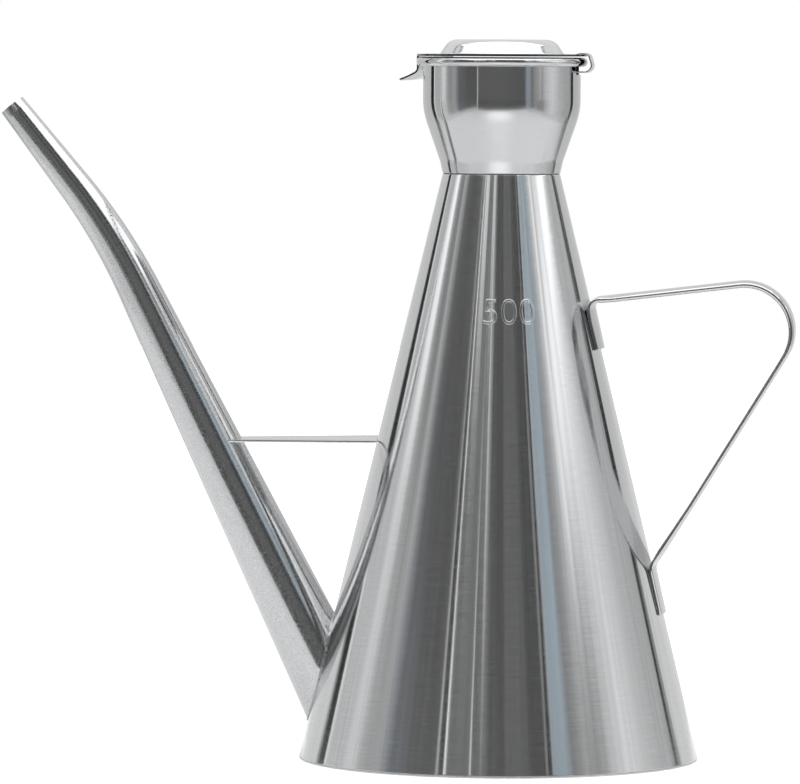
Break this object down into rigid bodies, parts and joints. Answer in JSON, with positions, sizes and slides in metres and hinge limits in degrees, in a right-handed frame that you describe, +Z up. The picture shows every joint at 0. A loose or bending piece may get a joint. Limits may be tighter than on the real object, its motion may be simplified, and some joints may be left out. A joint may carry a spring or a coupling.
{
  "type": "oil cruet",
  "caption": "Conical stainless steel oil cruet with a hinged domed lid, a long tapered spout tied by a brace, and a strip handle.",
  "frame": {"origin": "centre of the base disc's underside, on the cone's axis", "axes": "+Z up along the cone's axis, the spout points to -X and the handle and the lid's hinge are at +X"},
  "size_m": [0.1999, 0.1, 0.1802],
  "materials": {
    "base_disc": "satin",
    "body_cone": "brushed round the axis, semi-bright",
    "mouth_cup": "bright brushed",
    "lid": "polished",
    "spout": "brushed along its length, semi-bright",
    "spout_brace": "satin",
    "handle": "polished"
  },
  "bodies": {
    "vessel": {"base_disc": "base_disc", "body_cone": "body_cone", "mouth_cup": "mouth_cup", "spout": "spout", "spout_brace": "spout_brace", "handle": "handle"},
    "lid": {"lid": "lid"}
  },
  "joints": [
    {"name": "lid_hinge", "type": "hinge", "parent": "vessel", "child": "lid", "pos_m": [0.02025, 0, 0.1745], "axis": [0, 1, 0], "range_deg": [0, 110]}
  ]
}
